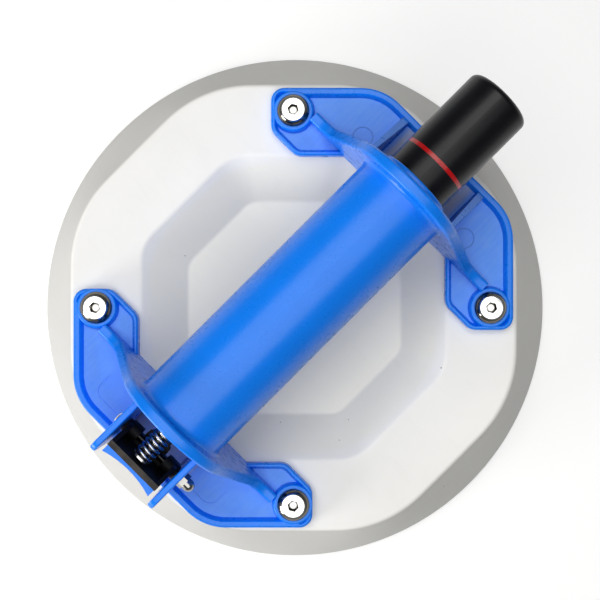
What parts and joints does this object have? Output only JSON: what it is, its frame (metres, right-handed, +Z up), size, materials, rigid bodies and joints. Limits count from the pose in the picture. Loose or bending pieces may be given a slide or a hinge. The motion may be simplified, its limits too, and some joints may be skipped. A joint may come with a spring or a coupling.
{
  "type": "suction lifter",
  "caption": "Hand suction lifter: round rubber pad with an octagonal rim, moulded grip screwed over it, hand pump with a red warning line, and a sprung release lever.",
  "frame": {"origin": "centre of the sealing lip, on the plane that it stands on", "axes": "+Z up through the grip, +X along the grip towards the pump plunger"},
  "size_m": [0.2135, 0.21, 0.0935],
  "materials": {
    "pad_rubber": "satin",
    "blue_plastic": "satin",
    "black_plastic": "matt",
    "red_plastic": "gloss",
    "bright_steel": "polished",
    "spring_steel": "satin",
    "plate_steel": "matt",
    "brass": "satin",
    "aluminium": "satin",
    "seal_rubber": "matt",
    "felt": "matt"
  },
  "bodies": {
    "base": {"suction_pad": "pad_rubber", "stiffener_plate": "plate_steel", "pad_insert_nuts": "plate_steel", "air_filter": "felt", "handle_body": "blue_plastic", "handle_screws": "bright_steel", "duct_ring": "seal_rubber", "pump_cylinder": "aluminium", "cylinder_seal": "seal_rubber", "inlet_check_valve": "seal_rubber", "guide_sleeve": "blue_plastic", "wiper_ring": "seal_rubber", "return_spring": "spring_steel", "valve_seat_bush": "brass", "bush_nut": "brass", "valve_spring": "spring_steel", "pivot_screw": "bright_steel", "pivot_acorn_nut": "bright_steel"},
    "pump_plunger": {"plunger": "black_plastic", "indicator_ring": "red_plastic", "piston_head": "black_plastic", "piston_cup_seal": "seal_rubber", "piston_screw": "bright_steel"},
    "lever": {"release_lever": "black_plastic", "lever_thumb_pad": "blue_plastic"},
    "valve": {"valve_stem": "bright_steel", "valve_seal": "seal_rubber", "stem_retainer": "spring_steel"}
  },
  "joints": [
    {"name": "plunger_slide", "type": "slide", "parent": "base", "child": "pump_plunger", "axis": [1, 0, 0], "range_m": [-0.038, 0], "stiffness_N_per_m": 250, "springref_m": 0.02, "deforming": ["return_spring"]},
    {"name": "lever_hinge", "type": "hinge", "parent": "base", "child": "lever", "pos_m": [-0.0751, 0, 0.055], "axis": [0, 1, 0], "range_deg": [0, 14], "stiffness_Nm_per_rad": 0.3, "springref_deg": -17.19},
    {"name": "valve_slide", "type": "slide", "parent": "base", "child": "valve", "axis": [1, 0, 0], "range_m": [0, 0.0034], "deforming": ["valve_spring"]}
  ],
  "couplings": [
    {"joint": "valve_slide", "follows": "lever_hinge", "m_per_rad": 0.0135}
  ]
}
